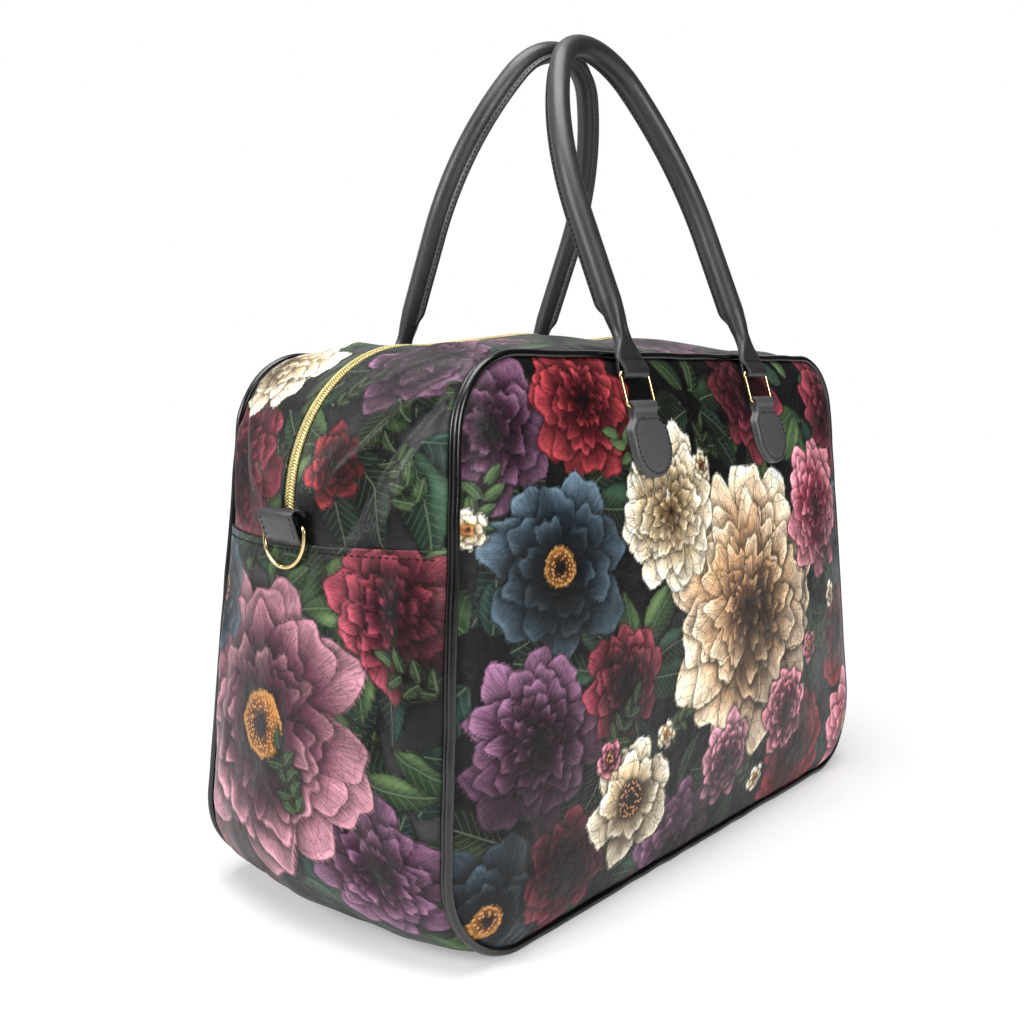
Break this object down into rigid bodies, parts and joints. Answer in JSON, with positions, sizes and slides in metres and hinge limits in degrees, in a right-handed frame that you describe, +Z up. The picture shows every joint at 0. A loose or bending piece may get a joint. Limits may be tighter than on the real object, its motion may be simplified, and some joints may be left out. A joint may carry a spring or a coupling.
{
  "type": "travel bag",
  "caption": "Soft-sided zipped travel bag with piped crowned panels, a wrap-round gusset, rolled handles on wire rings and an end loop with a D-ring at each end.",
  "frame": {"origin": "on the floor under the middle of the bag", "axes": "+X along the bag's length towards the zip slider's end, -Y out of the front panel, +Z up"},
  "size_m": [0.5411, 0.2524, 0.5487],
  "materials": {
    "printed_cloth": "coated satin",
    "black_piping": "satin",
    "black_leatherette": "satin",
    "zip_tape": "woven",
    "gold_zip": "metallised",
    "gold_wire": "polished"
  },
  "bodies": {
    "bag": {"back_left_chape": "black_leatherette", "back_panel": "printed_cloth", "back_piping": "black_piping", "back_right_chape": "black_leatherette", "back_upper_gusset": "printed_cloth", "back_zip_coil": "gold_zip", "back_zip_tape": "zip_tape", "front_left_chape": "black_leatherette", "front_panel": "printed_cloth", "front_piping": "black_piping", "front_right_chape": "black_leatherette", "front_upper_gusset": "printed_cloth", "front_zip_coil": "gold_zip", "front_zip_tape": "zip_tape", "left_end_loop": "black_leatherette", "lower_gusset": "printed_cloth", "right_end_loop": "black_leatherette"},
    "front_rings": {"front_left_ring": "gold_wire", "front_right_ring": "gold_wire"},
    "back_rings": {"back_left_ring": "gold_wire", "back_right_ring": "gold_wire"},
    "front_handle": {"front_handle": "black_leatherette"},
    "back_handle": {"back_handle": "black_leatherette"},
    "left_d_ring": {"left_d_ring": "gold_wire"},
    "right_d_ring": {"right_d_ring": "gold_wire"},
    "zip_slider": {"zip_slider": "gold_zip"},
    "zip_pull": {"zip_pull": "gold_zip"}
  },
  "joints": [
    {"name": "front_rings_tilt", "type": "hinge", "parent": "bag", "child": "front_rings", "pos_m": [0, -0.10843, 0.30091], "axis": [1, 0, 0], "range_deg": [0, 110]},
    {"name": "front_handle_swing", "type": "hinge", "parent": "front_rings", "child": "front_handle", "pos_m": [0, -0.10224, 0.3215], "axis": [1, 0, 0], "range_deg": [0, 80]},
    {"name": "back_rings_tilt", "type": "hinge", "parent": "bag", "child": "back_rings", "pos_m": [0, 0.10843, 0.30091], "axis": [-1, 0, 0], "range_deg": [0, 110]},
    {"name": "back_handle_swing", "type": "hinge", "parent": "back_rings", "child": "back_handle", "pos_m": [0, 0.10224, 0.3215], "axis": [-1, 0, 0], "range_deg": [0, 80]},
    {"name": "right_d_ring_swing", "type": "hinge", "parent": "bag", "child": "right_d_ring", "pos_m": [0.26201, 0, 0.23866], "axis": [0, -1, 0], "range_deg": [0, 130]},
    {"name": "left_d_ring_swing", "type": "hinge", "parent": "bag", "child": "left_d_ring", "pos_m": [-0.26201, 0, 0.23866], "axis": [0, 1, 0], "range_deg": [0, 130]},
    {"name": "zip_travel", "type": "hinge", "parent": "bag", "child": "zip_slider", "pos_m": [0.16628, 0, 0.2454], "axis": [0, -1, 0], "range_deg": [0, 82]},
    {"name": "zip_pull_swing", "type": "hinge", "parent": "zip_slider", "child": "zip_pull", "pos_m": [0.2617, 0, 0.25568], "axis": [0, -1, 0], "range_deg": [0, 115]}
  ]
}
